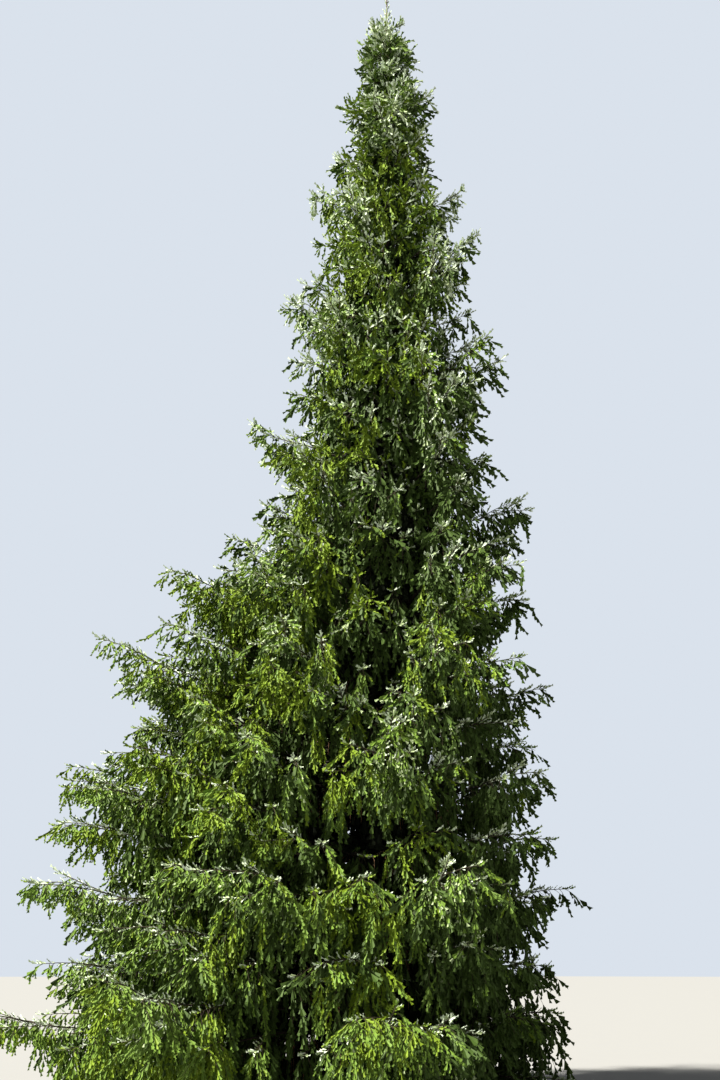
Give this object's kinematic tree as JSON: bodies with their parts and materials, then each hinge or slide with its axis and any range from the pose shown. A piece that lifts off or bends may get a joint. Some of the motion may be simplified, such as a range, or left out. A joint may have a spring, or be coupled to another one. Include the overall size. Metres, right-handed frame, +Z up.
{
  "type": "serbian spruce tree",
  "caption": "Tall narrow conifer: straight tapering trunk, tiers of drooping boughs with hanging needle sprays, spire top.",
  "frame": {"origin": "middle of the trunk's flat cut at ground level", "axes": "+Z up the trunk; +X to the right of the picture; -Y towards the camera"},
  "size_m": [7.3267, 6.6405, 18],
  "materials": {
    "bark": "rough scaly bark",
    "needles": "soft matt needles"
  },
  "bodies": {
    "root": {"bough_01a": "bark", "bough_01b": "bark", "bough_01c": "bark", "bough_01d": "bark", "bough_02a": "bark", "bough_02b": "bark", "bough_02c": "bark", "bough_02d": "bark", "bough_03a": "bark", "bough_03b": "bark", "bough_03c": "bark", "bough_03d": "bark", "foliage_01a": "needles", "foliage_01b": "needles", "foliage_01c": "needles", "foliage_01d": "needles", "foliage_02a": "needles", "foliage_02b": "needles", "foliage_02c": "needles", "foliage_02d": "needles", "foliage_03a": "needles", "foliage_03b": "needles", "foliage_03c": "needles", "foliage_03d": "needles", "foliage_04a": "needles", "foliage_04b": "needles", "foliage_04c": "needles", "foliage_04d": "needles", "foliage_05a": "needles", "foliage_05b": "needles", "foliage_05c": "needles", "foliage_06a": "needles", "foliage_06b": "needles", "foliage_06c": "needles", "foliage_07a": "needles", "foliage_07b": "needles", "foliage_07c": "needles", "foliage_08a": "needles", "foliage_08b": "needles", "foliage_08c": "needles", "foliage_09a": "needles", "foliage_09b": "needles", "foliage_09c": "needles", "foliage_10a": "needles", "foliage_10b": "needles", "foliage_10c": "needles", "foliage_11a": "needles", "foliage_11b": "needles", "foliage_12a": "needles", "foliage_12b": "needles", "foliage_13a": "needles", "foliage_13b": "needles", "foliage_14a": "needles", "foliage_14b": "needles", "foliage_15a": "needles", "foliage_15b": "needles", "trunk": "bark"}
  },
  "joints": []
}
